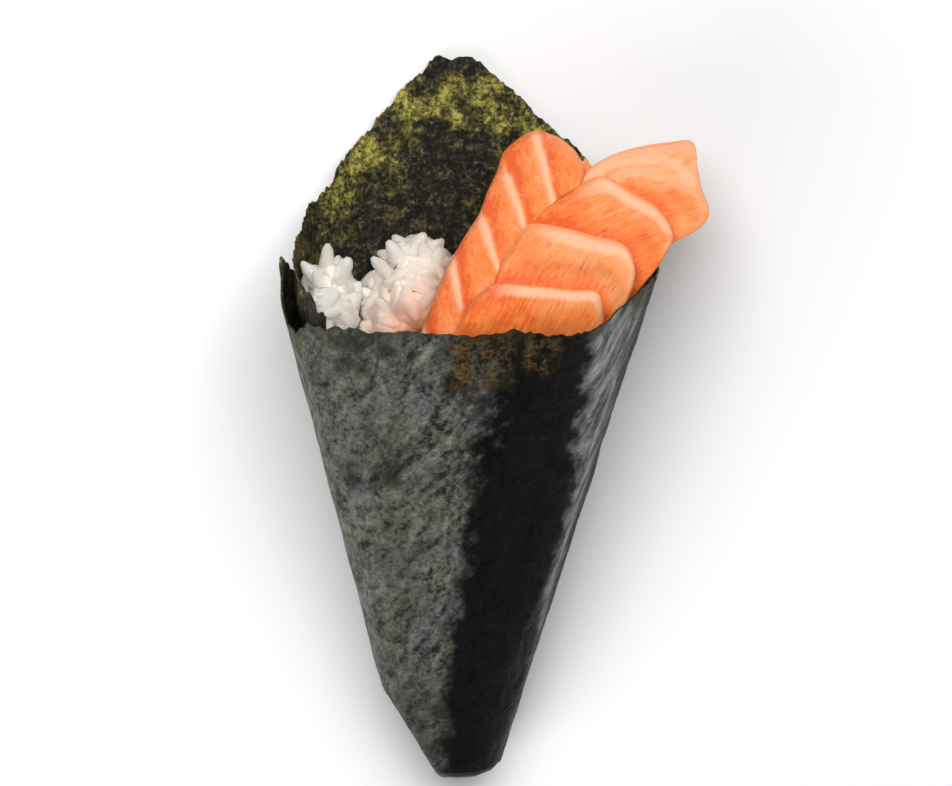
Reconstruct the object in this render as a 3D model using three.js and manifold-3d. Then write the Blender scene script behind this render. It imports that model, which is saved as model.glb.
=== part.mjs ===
// A temaki, or sushi hand roll: one sheet of dark seaweed wound into a cone round rice, with
// salmon standing in its mouth. It lies on its back. Millimetres, +X right, +Y towards the tip
// of the sheet and +Z up.
//
// Everything is first worked out on the upright roll. There x runs right, f towards the front
// and w up the roll, from the folded end at w = 0. The finished group is then laid on its back.
import * as THREE from 'three';
import { mergeVertices } from 'three/addons/utils/BufferGeometryUtils.js';
import Module from 'manifold-3d';

const wasm = await Module();
wasm.setup();

// The cone, measured at its folded end and at the front rim.
const frontLength = 106;
const endWidth = 21.7;
const rimWidth = 78.6;
const endDepth = 18;
const rimDepth = 62;
const endShift = -2.4;
const rimShift = 0.6;
const roundness = 2.45;
const leftFrontSquareness = 0.75;
const restingFlat = 0.35;
const restingTurn = 18;
const pinchHeight = 17.8;
const pinchSlope = 0.35;

// The sheet of seaweed. Turns are degrees round the roll, from the front over the left side.
const sheetThickness = 0.7;
const innerEdgeTurn = 50;
const outerEdgeTurn = 495;
const layerPitch = 1.25;
const innerLapGap = 3;
const sheetColumns = 68;
const sheetRows = 10;
const waveHeight = 0.35;

// The flap behind the mouth: a corner of the sheet, with its edges straight in front view.
const tipHeight = 145.4;
const tipLeft = -5.8;
const tipRight = 2;
const leftEdgeSlope = 0.993;
const rightEdgeSlope = 0.84;
const sideRimHeight = 111.4;
const outerCornerHeight = 97;

// Filling.
const gap = 0.4;
const sliceThickness = 4.2;
const slicePitch = 4.8;
const stripDrop = 3;
const stripLean = 0.42;
const stripFall = 0.6;
const stripThickness = 7.5;
const outlinePoints = 26;
const grainLength = 6.6;
const grainWidth = 2.85;
const grainSides = 5;
const riceFloor = 8;
const riceTop = 96;
const riceClearance = 0.9;
const shownShare = 0.3;
const smallestEdge = 0.05;

const degrees = Math.PI / 180;
const clamp = THREE.MathUtils.clamp;
const smooth = (from, to, v) => {
  const s = clamp((v - from) / (to - from), 0, 1);
  return s * s * (3 - 2 * s);
};
const bump = (middle, spread, v) => Math.exp(-(((v - middle) / spread) ** 2));

// Linear sizes along the roll.
const along = (atEnd, atRim, w) => atEnd + ((atRim - atEnd) * w) / frontLength;
const halfWidth = (w) => along(endWidth, rimWidth, w) / 2;
const halfDepth = (w) => along(endDepth, rimDepth, w) / 2;
const middleX = (w) => along(endShift, rimShift, w);
const backLean = Math.atan((rimDepth - endDepth) / 2 / frontLength);

// A point of the upright roll in the group's coordinates.
const upright = (x, f, w) => new THREE.Vector3(x, -f, w);

// The superellipse's power at a turn: squarer at the front left, as the sheet is pressed there.
function sectionPower(turn) {
  const s = Math.sin(turn * degrees);
  const c = Math.cos(turn * degrees);
  return roundness + leftFrontSquareness * 2 * Math.max(0, s) * Math.max(0, c);
}

// The roll's section: x = middle - a sin^(2/n), f = b cos^(2/n), drawn in by an inset, with
// its back cut flat to rest on. Near the end the left side is pinched in, where it is folded.
function sectionPoint(turn, w, inset) {
  const power = 2 / sectionPower(turn);
  const s = Math.sin(turn * degrees);
  const c = Math.cos(turn * degrees);
  const pinch = s > 0 ? pinchSlope * Math.max(0, pinchHeight - w) : 0;
  const a = halfWidth(w) - inset - pinch;
  const b = halfDepth(w) - inset;
  const x = middleX(w) - a * Math.sign(s) * Math.abs(s) ** power;
  const f = b * Math.sign(c) * Math.abs(c) ** power;
  return { x, f: Math.max(f, -b + restingFlat) };
}

// How far inside the outermost face the sheet's first turn lies.
function lapInset(turn, w) {
  const apart = layerPitch * (1 - smooth(outerEdgeTurn - 360, 180 - restingTurn, turn));
  const bulge = innerLapGap * (1 - smooth(innerEdgeTurn, outerEdgeTurn - 360, turn));
  return apart + (bulge * halfWidth(w)) / halfWidth(frontLength);
}

// Height of the rim at a turn. Over the back it follows the flap's two straight edges, solved
// for w where they cross the cone's surface.
function rimHeight(turn) {
  const ragged = 0.35 * Math.sin(turn * 0.31) + 0.25 * Math.sin(turn * 0.83 + 1);
  if (turn < 90) {
    return sideRimHeight - 5 * smooth(90, innerEdgeTurn, turn) + ragged;
  }
  if (turn < 270) {
    const s = Math.sin(turn * degrees);
    const across = -Math.sign(s) * Math.abs(s) ** (2 / sectionPower(turn));
    const atEnd = middleX(0) + halfWidth(0) * across;
    const perHeight = (middleX(1) + halfWidth(1) * across) - atEnd;
    const left = (tipHeight - leftEdgeSlope * (tipLeft - atEnd)) / (1 - leftEdgeSlope * perHeight);
    const right = (tipHeight - rightEdgeSlope * (atEnd - tipRight)) / (1 + rightEdgeSlope * perHeight);
    return Math.min(tipHeight, left, right) + ragged;
  }
  const fromFront = turn - 360;
  if (fromFront < 0) {
    const side = smooth(-36, -68, fromFront);
    return frontLength + (sideRimHeight - frontLength) * side - 1.6 * bump(-30, 9, fromFront) + ragged;
  }
  const corner = smooth(74, 92, fromFront);
  const dip = 4.5 * smooth(40, 74, fromFront);
  const risen = frontLength - dip + (sideRimHeight - frontLength + dip) * corner;
  const fall = (sideRimHeight - outerCornerHeight) * smooth(90, outerEdgeTurn - 360, fromFront);
  return risen - fall + ragged;
}

// Closed solid from vertices and triangles, turned so that its faces point out.
function solidOf(points, triangles) {
  const geometry = new THREE.BufferGeometry().setFromPoints(points);
  geometry.setIndex(triangles);
  const merged = mergeVertices(geometry, 1e-4);
  const kept = [];
  const index = merged.index.array;
  for (let i = 0; i < index.length; i += 3) {
    const [a, b, c] = [index[i], index[i + 1], index[i + 2]];
    if (a !== b && b !== c && c !== a) {
      kept.push(a, b, c);
    }
  }
  const build = (order) =>
    new wasm.Manifold(
      new wasm.Mesh({
        numProp: 3,
        vertProperties: merged.attributes.position.array,
        triVerts: new Uint32Array(order),
      }),
    );
  const made = build(kept);
  return made.volume() > 0 ? made : build(kept.reverse());
}

// Rings of points joined one to the next, and each end closed on its middle point.
function loft(rings) {
  const count = rings[0].length;
  const points = rings.flat();
  const triangles = [];
  for (let j = 0; j + 1 < rings.length; j += 1) {
    for (let i = 0; i < count; i += 1) {
      const a = j * count + i;
      const b = j * count + ((i + 1) % count);
      triangles.push(a, b, b + count, a, b + count, a + count);
    }
  }
  const middleOf = (ring) => ring.reduce((sum, p) => sum.add(p), new THREE.Vector3()).divideScalar(count);
  const first = points.push(middleOf(rings[0])) - 1;
  const last = points.push(middleOf(rings[rings.length - 1])) - 1;
  const top = (rings.length - 1) * count;
  for (let i = 0; i < count; i += 1) {
    const next = (i + 1) % count;
    triangles.push(first, next, i, last, top + i, top + next);
  }
  return solidOf(points, triangles);
}

// Two faces with the same grid, joined along all four borders.
function sheetBetween(outer, inner, columns, rows) {
  const points = [];
  const faces = [outer, inner];
  for (const face of faces) {
    for (let i = 0; i <= columns; i += 1) {
      for (let j = 0; j <= rows; j += 1) {
        points.push(face(i / columns, j / rows));
      }
    }
  }
  const at = (side, i, j) => (side * (columns + 1) + i) * (rows + 1) + j;
  const triangles = [];
  for (let i = 0; i < columns; i += 1) {
    for (let j = 0; j < rows; j += 1) {
      triangles.push(at(0, i, j), at(0, i + 1, j), at(0, i + 1, j + 1));
      triangles.push(at(0, i, j), at(0, i + 1, j + 1), at(0, i, j + 1));
      triangles.push(at(1, i, j), at(1, i + 1, j + 1), at(1, i + 1, j));
      triangles.push(at(1, i, j), at(1, i, j + 1), at(1, i + 1, j + 1));
    }
  }
  const border = (i0, j0, i1, j1) => {
    triangles.push(at(0, i0, j0), at(1, i1, j1), at(1, i0, j0));
    triangles.push(at(0, i0, j0), at(0, i1, j1), at(1, i1, j1));
  };
  for (let i = 0; i < columns; i += 1) {
    border(i + 1, 0, i, 0);
    border(i, rows, i + 1, rows);
  }
  for (let j = 0; j < rows; j += 1) {
    border(0, j, 0, j + 1);
    border(columns, j + 1, columns, j);
  }
  return solidOf(points, triangles);
}

// The wound sheet: a spiral of a little over one turn, a thin solid with slow waves.
function woundSheet() {
  const face = (depth) => (u, v) => {
    const turn = innerEdgeTurn + u * (outerEdgeTurn - innerEdgeTurn);
    const w = v * rimHeight(turn);
    const lies = 1 - smooth(restingTurn, 2 * restingTurn, Math.abs(turn - 180));
    const wave = waveHeight * v * (1 - lies) * Math.sin(turn * 0.16 + w * 0.09);
    const inset = lapInset(turn, w) + depth + Math.max(0, wave) * smooth(520, 360, turn);
    const { x, f } = sectionPoint(turn, w, inset);
    return upright(x, f, w);
  };
  return sheetBetween(face(0), face(sheetThickness), sheetColumns, sheetRows);
}

// The folded end: the roll's section drawn in over a few millimetres, with soft pleats.
function foldedEnd() {
  const profile = [[-3.8, 0.22], [-3.3, 0.55], [-1.9, 0.84], [0, 0.975], [6, 0.985]];
  const ring = ([w, scale]) => {
    const points = [];
    for (let i = 0; i < 30; i += 1) {
      const turn = i * 12;
      const at = sectionPoint(turn, Math.max(w, 0), sheetThickness / 2);
      const pleat = 1 - 0.07 * (1 - scale) * Math.cos(turn * 5 * degrees);
      const low = -halfDepth(0) * 0.25 * (1 - scale);
      const x = middleX(0) + (at.x - middleX(0)) * scale * pleat;
      points.push(upright(x, low + at.f * scale * pleat, w));
    }
    return points;
  };
  return loft(profile.map(ring));
}

// The space inside the sheet up to a height, a gap clear of its innermost layer.
function insideOfSheet(fromHeight, toHeight, clearance) {
  const rings = [];
  for (let j = 0; j <= 6; j += 1) {
    const w = fromHeight + ((toHeight - fromHeight) * j) / 6;
    const ring = [];
    for (let i = 0; i < 48; i += 1) {
      const turn = i * 7.5;
      const lap = turn < innerEdgeTurn ? lapInset(innerEdgeTurn, w) * smooth(30, 44, turn) : 0;
      const inset = turn < 180 ? Math.max(lap, turn < innerEdgeTurn ? 0 : lapInset(turn, w)) : 0;
      const { x, f } = sectionPoint(turn, w, inset + sheetThickness + clearance);
      ring.push(upright(x, f, w));
    }
    rings.push(ring);
  }
  return loft(rings);
}

// The top face of the uppermost slice: along the front wall inside the mouth, then leaning back
// over the rim more and more, and sagging a little to the right.
function hood(x, w) {
  const leaning = 0.033 * Math.max(0, w - 104) ** 2;
  return halfDepth(w) - 2.8 - 6 * smooth(8, 34, x) - leaning;
}

// Where the strip on the left meets the slices on the right.
const creaseX = (w) => -0.8 + 0.85 * (w - 104.7);

// The strip's face follows the slices' steps at the crease and falls away to the left.
function stripFace(x, w) {
  return hood(x, w) - stripDrop - stripLean * Math.max(0, w - 104) - stripFall * Math.max(0, creaseX(w) - x);
}

// A cut of fish: a closed smooth outline in front view, as thick as given under its face, with
// rounded edges. It swells all round by grow.
function fishCut(outline, face, thickness, grow) {
  const corners = outline.map(([x, w]) => new THREE.Vector3(x, w, 0));
  const curve = new THREE.CatmullRomCurve3(corners, true, 'centripetal');
  const rimPoints = curve.getSpacedPoints(outlinePoints).slice(0, outlinePoints);
  const middle = rimPoints.reduce((sum, p) => sum.add(p), new THREE.Vector3()).divideScalar(outlinePoints);
  const levels = [[0.32, 1], [0.62, 1], [0.86, 0.97], [0.96, 0.8], [1, 0.45]];
  const ringOf = (reach, share) =>
    rimPoints.map((p) => {
      const out = p.clone().sub(middle);
      const size = out.length();
      out.multiplyScalar((reach * (size + grow)) / size);
      const x = middle.x + out.x;
      const w = middle.y + out.y;
      const centre = face(x, w) - thickness / 2;
      return upright(x, centre + share * (thickness / 2 + grow), w);
    });
  const front = levels.map(([reach, share]) => ringOf(reach, share));
  const back = levels.map(([reach, share]) => ringOf(reach, -share)).reverse();
  return loft([...front, ...back]);
}

// A long cut of fish between two edges in front view: flattened round sections, one after the
// other, under the face given.
function fishStrip(left, right, face, thickness, grow) {
  const edge = (corners) => new THREE.CatmullRomCurve3(corners.map(([x, w]) => new THREE.Vector3(x, w, 0)));
  const [leftEdge, rightEdge] = [edge(left), edge(right)];
  const stations = 16;
  const rings = [];
  for (let j = 0; j <= stations; j += 1) {
    const a = leftEdge.getPoint(j / stations);
    const b = rightEdge.getPoint(j / stations);
    const end = Math.min(j, stations - j);
    const drawn = [0.86, 0.97, 1][Math.min(end, 2)];
    const middle = a.clone().add(b).multiplyScalar(0.5);
    const half = b.clone().sub(a).multiplyScalar(0.5);
    half.multiplyScalar(drawn + grow / half.length());
    const ring = [];
    for (let i = 0; i < 14; i += 1) {
      const angle = (i * 2 * Math.PI) / 14;
      const across = Math.sign(Math.cos(angle)) * Math.abs(Math.cos(angle)) ** 0.6;
      const deep = Math.sign(Math.sin(angle)) * Math.abs(Math.sin(angle)) ** 0.6;
      const x = middle.x + half.x * across;
      const w = middle.y + half.y * across;
      ring.push(upright(x, face(x, w) - thickness / 2 + deep * (drawn * thickness / 2 + grow), w));
    }
    rings.push(ring);
  }
  return loft(rings);
}

// Slices from the front one back, each a thickness lower than the last.
const slices = [
  { name: 'salmon_slice_1', outline: [[-3.5, 99], [-0.8, 105.9], [3.1, 112], [7.2, 114.5], [15.1, 113.8],
    [23, 112.3], [28.2, 111.4], [29.4, 107.5], [28.6, 100], [24, 90], [17, 78], [2, 80]] },
  { name: 'salmon_slice_2', outline: [[5, 108], [7.9, 116], [10.6, 119.9], [13.5, 123.1], [21, 122.3],
    [27.1, 120.5], [34.4, 118.2], [36, 114.6], [34.5, 108.9], [31, 99], [24, 82], [6, 84]] },
  { name: 'salmon_slice_3', outline: [[9, 110], [15.2, 123], [19.2, 125.6], [23.6, 127.3], [29.7, 128.8],
    [35.2, 126.4], [41.2, 123.6], [44.1, 119.8], [42.8, 117], [34, 105], [23, 88], [10, 92]] },
  { name: 'salmon_slice_4', outline: [[20, 118], [23.5, 126], [24.5, 131], [29, 131.4], [35.4, 132.3],
    [43.6, 132.9], [48.9, 132.6], [49.6, 129], [50.5, 125.5], [51.8, 122.3], [48.6, 119.3], [43.4, 116.4],
    [33, 105], [24, 96], [14, 100]] },
];
// The strip's two long edges in front view, from inside the mouth to its upper end.
const stripLeft = [[-12, 86], [-9.8, 98], [-7.2, 105], [-3.6, 112.6], [0.4, 118.2], [3.6, 122], [5.2, 125],
  [7.3, 128.2], [8, 131.1], [11.1, 133.4], [14.6, 134.7]];
const stripRight = [[-6.5, 86], [-3.6, 99], [-0.4, 105.2], [3.7, 110.3], [7.9, 115.1], [13, 120.8],
  [17.5, 124], [22.2, 126.2], [25.4, 128.5], [25, 131.4], [21.2, 133.8]];

// Round all the slices together, for the room that the rice leaves them.
const stackOutline = [[-5.5, 98], [5, 115.5], [12, 124], [22, 129], [34, 133], [50.5, 133.5], [53, 121.5],
  [42, 111], [35.5, 102], [26, 77], [0.5, 74.5]];

const strip = (grow) => fishStrip(stripLeft, stripRight, stripFace, stripThickness, grow);
const slice = (index) => {
  const face = (x, w) => hood(x, w) - index * slicePitch;
  return fishCut(slices[index].outline, face, sliceThickness, 0).subtract(strip(gap));
};

// Seeded draws between 0 and 1.
function seeded(seed) {
  let state = seed;
  return () => {
    state = (state + 0x6d2b79f5) | 0;
    let t = Math.imul(state ^ (state >>> 15), 1 | state);
    t = (t + Math.imul(t ^ (t >>> 7), 61 | t)) ^ t;
    return ((t ^ (t >>> 14)) >>> 0) / 4294967296;
  };
}

// A grain of rice: a plump spindle of few sides along its axis.
function grain(centre, axis, size) {
  const side = new THREE.Vector3(axis.z, axis.x, axis.y).cross(axis).normalize();
  const other = axis.clone().cross(side);
  const rings = [[-0.42, 0.5], [0, 1], [0.42, 0.5]].map(([shift, share]) => {
    const ring = [];
    for (let i = 0; i < grainSides; i += 1) {
      const angle = (i * 2 * Math.PI) / grainSides;
      const out = side.clone().multiplyScalar(Math.cos(angle)).addScaledVector(other, Math.sin(angle));
      ring.push(
        centre.clone()
          .addScaledVector(axis, shift * grainLength * size)
          .addScaledVector(out, (share * grainWidth * size) / 2),
      );
    }
    return ring;
  });
  return loft(rings);
}

// Heaps of rice that stand out of the mouth, as ellipsoids of the upright roll.
const heaps = [
  { at: [-27.2, -6, 101], radii: [7, 17, 8.4], grains: 32 },
  { at: [-11.5, -8, 102.5], radii: [10.2, 18, 9.4], grains: 50 },
  { at: [14, -10, 98], radii: [17, 15, 9], grains: 26 },
];

// One heap's rounded core.
function heapCore(heap) {
  const [mx, mf, mw] = heap.at;
  const [rx, rf, rw] = heap.radii;
  const rings = [];
  for (let j = 1; j < 8; j += 1) {
    const polar = (j * Math.PI) / 8;
    const out = Math.sin(polar);
    const ring = [];
    for (let i = 0; i < 14; i += 1) {
      const angle = (i * 2 * Math.PI) / 14;
      const x = mx + rx * out * Math.cos(angle);
      ring.push(upright(x, mf + rf * out * Math.sin(angle), mw - rw * Math.cos(polar)));
    }
    rings.push(ring);
  }
  return loft(rings);
}

// The grains over one heap, spread by the golden angle and turned at random along its surface.
function heapGrains(heap, random) {
  const [mx, mf, mw] = heap.at;
  const [rx, rf, rw] = heap.radii;
  const goldenAngle = Math.PI * (3 - Math.sqrt(5));
  const grains = [];
  for (let i = 0; i < heap.grains; i += 1) {
    const rise = 1 - (1.15 * (i + 0.5)) / heap.grains;
    const out = Math.sqrt(1 - rise * rise);
    const angle = i * goldenAngle;
    const normal = new THREE.Vector3(out * Math.cos(angle), out * Math.sin(angle), rise);
    const centre = upright(mx + rx * normal.x, mf + rf * normal.y, mw + rw * normal.z);
    const loose = new THREE.Vector3(random() - 0.5, random() - 0.5, random() - 0.5);
    const facing = upright(normal.x / rx, normal.y / rf, normal.z / rw).normalize();
    const axis = loose.addScaledVector(facing, -0.75 * loose.dot(facing)).normalize();
    grains.push(grain(centre, axis, 0.9 + 0.2 * random()));
  }
  return grains;
}

// Largest of a solid's separate bodies, so that loose scraps and sealed pores are dropped.
function largestBody(solid) {
  return solid.decompose().reduce((best, body) => (body.volume() > best.volume() ? body : best));
}

// The rice fills the cone and heaps up behind the rim. A grain stays where it shows, inside the
// sheet and clear of the fish.
function ricePile() {
  const random = seeded(7);
  const room = insideOfSheet(riceFloor - 1, 128, gap);
  const stack = fishCut(stackOutline, hood, 3 * slicePitch + sliceThickness, riceClearance);
  const fish = strip(riceClearance).add(stack);
  const bed = insideOfSheet(riceFloor, riceTop, 1.5 * gap);
  const core = wasm.Manifold.union([bed, ...heaps.map(heapCore)]).intersect(room).subtract(fish);
  const kept = heaps.flatMap((heap) => heapGrains(heap, random)).filter((one) => {
    const shows = one.subtract(core).volume() > shownShare * one.volume();
    return shows && one.subtract(room).isEmpty() && one.intersect(fish).isEmpty();
  });
  return largestBody(wasm.Manifold.union([core, ...kept]).simplify(smallestEdge));
}

const materials = {
  seaweed: new THREE.MeshStandardMaterial({ color: 0x23271f, roughness: 0.45, metalness: 0, name: 'seaweed' }),
  rice: new THREE.MeshStandardMaterial({ color: 0xe4ddd2, roughness: 0.4, metalness: 0, name: 'rice' }),
  salmon: new THREE.MeshStandardMaterial({ color: 0xf58246, roughness: 0.35, metalness: 0, name: 'salmon' }),
};

// A named mesh from a solid.
function named(name, solid, material) {
  const made = solid.getMesh();
  const geometry = new THREE.BufferGeometry();
  geometry.setAttribute('position', new THREE.BufferAttribute(new Float32Array(made.vertProperties), 3));
  geometry.setIndex(new THREE.BufferAttribute(new Uint32Array(made.triVerts), 1));
  geometry.computeVertexNormals();
  const mesh = new THREE.Mesh(geometry, material);
  mesh.name = name;
  return mesh;
}

// The roll laid on its back, centred over the origin with its lowest face at z = 0.
function handRoll() {
  const roll = new THREE.Group();
  roll.add(named('nori_wrap', woundSheet().add(foldedEnd()), materials.seaweed));
  roll.add(named('rice', ricePile(), materials.rice));
  roll.add(named('salmon_strip', strip(0), materials.salmon));
  slices.forEach((cut, index) => roll.add(named(cut.name, slice(index), materials.salmon)));
  roll.rotation.x = -(Math.PI / 2 - backLean);

  const laid = new THREE.Group();
  laid.add(roll);
  laid.updateMatrixWorld(true);
  const box = new THREE.Box3().setFromObject(laid, true);
  const middle = box.getCenter(new THREE.Vector3());
  roll.position.set(-middle.x, -middle.y, -box.min.z);
  return laid;
}

export default handRoll();
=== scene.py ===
import bmesh
import bpy
import numpy as np
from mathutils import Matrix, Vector
from mathutils.bvhtree import BVHTree


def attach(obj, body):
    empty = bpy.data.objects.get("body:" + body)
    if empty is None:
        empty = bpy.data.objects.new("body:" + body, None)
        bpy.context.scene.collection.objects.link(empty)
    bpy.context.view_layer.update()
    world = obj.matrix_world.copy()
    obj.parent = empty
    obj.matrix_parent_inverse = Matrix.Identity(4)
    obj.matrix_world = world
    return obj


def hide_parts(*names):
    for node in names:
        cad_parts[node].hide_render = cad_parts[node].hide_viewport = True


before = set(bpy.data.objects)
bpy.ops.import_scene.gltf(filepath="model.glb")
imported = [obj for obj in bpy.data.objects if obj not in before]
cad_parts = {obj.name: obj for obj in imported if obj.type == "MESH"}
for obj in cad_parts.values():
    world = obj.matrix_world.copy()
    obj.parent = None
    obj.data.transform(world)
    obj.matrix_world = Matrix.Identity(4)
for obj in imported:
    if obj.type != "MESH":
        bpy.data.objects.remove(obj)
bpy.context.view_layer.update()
print("frame loaded:", ", ".join(sorted(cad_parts)))

# The roll is worked out upright in millimetres: x right, f towards the front, w up from its
# folded end. It is then laid on its back, in metres. A turn is in degrees round the roll, from
# the front over the left side.
roll = {
    "length": 106.0,
    "endWidth": 21.7, "rimWidth": 78.6,
    "endDepth": 18.0, "rimDepth": 62.0,
    "endShift": -2.4, "rimShift": 0.6,
    "power": 2.45, "frontLeftPower": 0.75,
    "flatBack": 0.35,
    "pinchHeight": 17.8, "pinchSlope": 0.35,
    "layX": -5.7755, "layY": -73.1522, "layZ": 8.4695,
}
lean = np.arctan((roll["rimDepth"] - roll["endDepth"]) / 2 / roll["length"])


def smooth(start, end, value):
    # s^2 (3 - 2 s), where s runs from 0 at start to 1 at end
    s = np.clip((value - start) / (end - start), 0.0, 1.0)
    return s * s * (3.0 - 2.0 * s)


def bump(middle, spread, value):
    # e^-((value - middle) / spread)^2
    return np.exp(-(((value - middle) / spread) ** 2))


def laid(x, f, w):
    # turned by the lean about x: Y = w cos - f sin, Z = f cos + w sin, then shifted
    x, f, w = np.broadcast_arrays(x, f, w)
    y = w * np.cos(lean) - f * np.sin(lean) + roll["layY"]
    z = f * np.cos(lean) + w * np.sin(lean) + roll["layZ"]
    return np.stack([x + roll["layX"], y, z], axis=-1) / 1000.0


def upright(points):
    # the way back: f = Z cos - Y sin, w = Y cos + Z sin, in millimetres
    p = np.asarray(points) * 1000.0
    x, y, z = p[..., 0] - roll["layX"], p[..., 1] - roll["layY"], p[..., 2] - roll["layZ"]
    return x, z * np.cos(lean) - y * np.sin(lean), y * np.cos(lean) + z * np.sin(lean)


def along(atEnd, atRim, w):
    # straight line from the folded end to the rim
    return atEnd + (atRim - atEnd) * w / roll["length"]


def halfDepth(w):
    return along(roll["endDepth"], roll["rimDepth"], w) / 2


def sectionPoint(turn, w, inset):
    # x = middle - a sin^(2/n), f = b cos^(2/n), drawn in by the inset, the back cut flat, the
    # left side pinched in near the end
    s, c = np.sin(np.radians(turn)), np.cos(np.radians(turn))
    power = 2.0 / (roll["power"] + roll["frontLeftPower"] * 2 * np.maximum(0, s) * np.maximum(0, c))
    pinch = np.where(s > 0, roll["pinchSlope"] * np.maximum(0, roll["pinchHeight"] - w), 0)
    a = along(roll["endWidth"], roll["rimWidth"], w) / 2 - inset - pinch
    b = halfDepth(w) - inset
    x = along(roll["endShift"], roll["rimShift"], w) - a * np.sign(s) * np.abs(s) ** power
    f = np.maximum(b * np.sign(c) * np.abs(c) ** power, roll["flatBack"] - b)
    return x, f


def latticeNoise(points, cell, seed):
    # random numbers on a cubic lattice, mixed by s^2 (3 - 2 s) along each axis, -1 to 1
    table = np.random.default_rng(seed).uniform(-1, 1, (32, 32, 32))
    p = np.asarray(points) / cell
    low = np.floor(p).astype(int)
    s = smooth(0, 1, p - low)
    total = np.zeros(p.shape[:-1])
    for corner in range(8):
        step = np.array([corner & 1, corner >> 1 & 1, corner >> 2 & 1])
        at = (low + step) % 32
        total += np.prod(np.where(step, s, 1 - s), axis=-1) * table[at[..., 0], at[..., 1], at[..., 2]]
    return total


def layeredNoise(points, cell, layers, seed):
    # sum of noise(cell / 2^k) / 2^k over the layers
    return sum(latticeNoise(points, cell / 2 ** k, seed + k) / 2 ** k for k in range(layers))


def creases(points, cell, seed):
    # (1 - |noise|)^3: thin ridges where the noise passes zero
    return (1 - np.minimum(1, np.abs(latticeNoise(points, cell, seed)) * 1.6)) ** 3


def gridFaces(rows, columns, first=0, closed=False):
    # four corners for each cell of a grid of points kept row by row
    i, j = np.meshgrid(np.arange(rows - 1), np.arange(columns if closed else columns - 1), indexing="ij")
    k = (j + 1) % columns
    return first + np.stack([i * columns + j, i * columns + k, (i + 1) * columns + k, (i + 1) * columns + j],
                            axis=-1).reshape(-1, 4)


def fanFaces(pole, ring):
    # triangles from a pole to each side of a closed ring
    return np.stack([np.full(len(ring), pole), ring, np.roll(ring, -1)], axis=-1)


def putMesh(name, points, faceSets, materials, faceMaterial=None, marks=None):
    # one object from arrays of corners, with its faces pointing out and any named marks
    mesh = bpy.data.meshes.new(name)
    sizes = np.concatenate([np.full(len(faces), faces.shape[1]) for faces in faceSets])
    corners = np.concatenate([faces.ravel() for faces in faceSets])
    mesh.vertices.add(len(points))
    mesh.vertices.foreach_set("co", np.asarray(points, dtype=np.float32).ravel())
    mesh.loops.add(len(corners))
    mesh.loops.foreach_set("vertex_index", corners.astype(np.int32))
    mesh.polygons.add(len(sizes))
    mesh.polygons.foreach_set("loop_start", np.concatenate([[0], np.cumsum(sizes)[:-1]]).astype(np.int32))
    for material in materials:
        mesh.materials.append(material)
    if faceMaterial is not None:
        mesh.polygons.foreach_set("material_index", faceMaterial.astype(np.int32))
    mesh.update(calc_edges=True)
    mesh.validate()
    for markName, values in (marks or {}).items():
        vector = values.ndim == 2
        mark = mesh.attributes.new(markName, "FLOAT_VECTOR" if vector else "FLOAT", "POINT")
        mark.data.foreach_set("vector" if vector else "value", values.astype(np.float32).ravel())
    shell = bmesh.new()
    shell.from_mesh(mesh)
    bmesh.ops.recalc_face_normals(shell, faces=shell.faces)
    shell.to_mesh(mesh)
    shell.free()
    mesh.polygons.foreach_set("use_smooth", np.ones(len(mesh.polygons), dtype=bool))
    made = bpy.data.objects.new(name, mesh)
    bpy.context.scene.collection.objects.link(made)
    return made


def newMaterial(name):
    material = bpy.data.materials.new(name)
    material.use_nodes = True
    return material, material.node_tree, material.node_tree.nodes["Principled BSDF"]


def addNode(tree, kind, inputs=None, **settings):
    made = tree.nodes.new(kind)
    for key, value in settings.items():
        setattr(made, key, value)
    for key, value in (inputs or {}).items():
        if isinstance(value, bpy.types.NodeSocket):
            tree.links.new(value, made.inputs[key])
        else:
            made.inputs[key].default_value = value
    return made


def noiseOf(tree, vector, scale, detail=4.0, roughness=0.55, distortion=0.0):
    inputs = {"Vector": vector, "Scale": scale, "Detail": detail, "Roughness": roughness, "Distortion": distortion}
    return addNode(tree, "ShaderNodeTexNoise", inputs).outputs["Fac"]


def maths(tree, operation, a, b=0.0, clamp=False):
    return addNode(tree, "ShaderNodeMath", {0: a, 1: b}, operation=operation, use_clamp=clamp).outputs[0]


def remap(tree, value, fromMin, fromMax, toMin=0.0, toMax=1.0):
    inputs = {"Value": value, "From Min": fromMin, "From Max": fromMax, "To Min": toMin, "To Max": toMax}
    return addNode(tree, "ShaderNodeMapRange", inputs, interpolation_type="SMOOTHSTEP").outputs["Result"]


def blend(tree, share, a, b):
    a = a if isinstance(a, bpy.types.NodeSocket) else (*a, 1.0)
    b = b if isinstance(b, bpy.types.NodeSocket) else (*b, 1.0)
    return addNode(tree, "ShaderNodeMix", {0: share, 6: a, 7: b}, data_type="RGBA").outputs[2]


def markOf(tree, name, output="Fac"):
    return addNode(tree, "ShaderNodeAttribute", attribute_name=name).outputs[output]


def objectPlace(tree):
    return addNode(tree, "ShaderNodeTexCoord").outputs["Object"]


def stretched(tree, vector, scale, turn=(0, 0, 0)):
    return addNode(tree, "ShaderNodeMapping", {"Vector": vector, "Scale": scale, "Rotation": turn}).outputs["Vector"]


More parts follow.
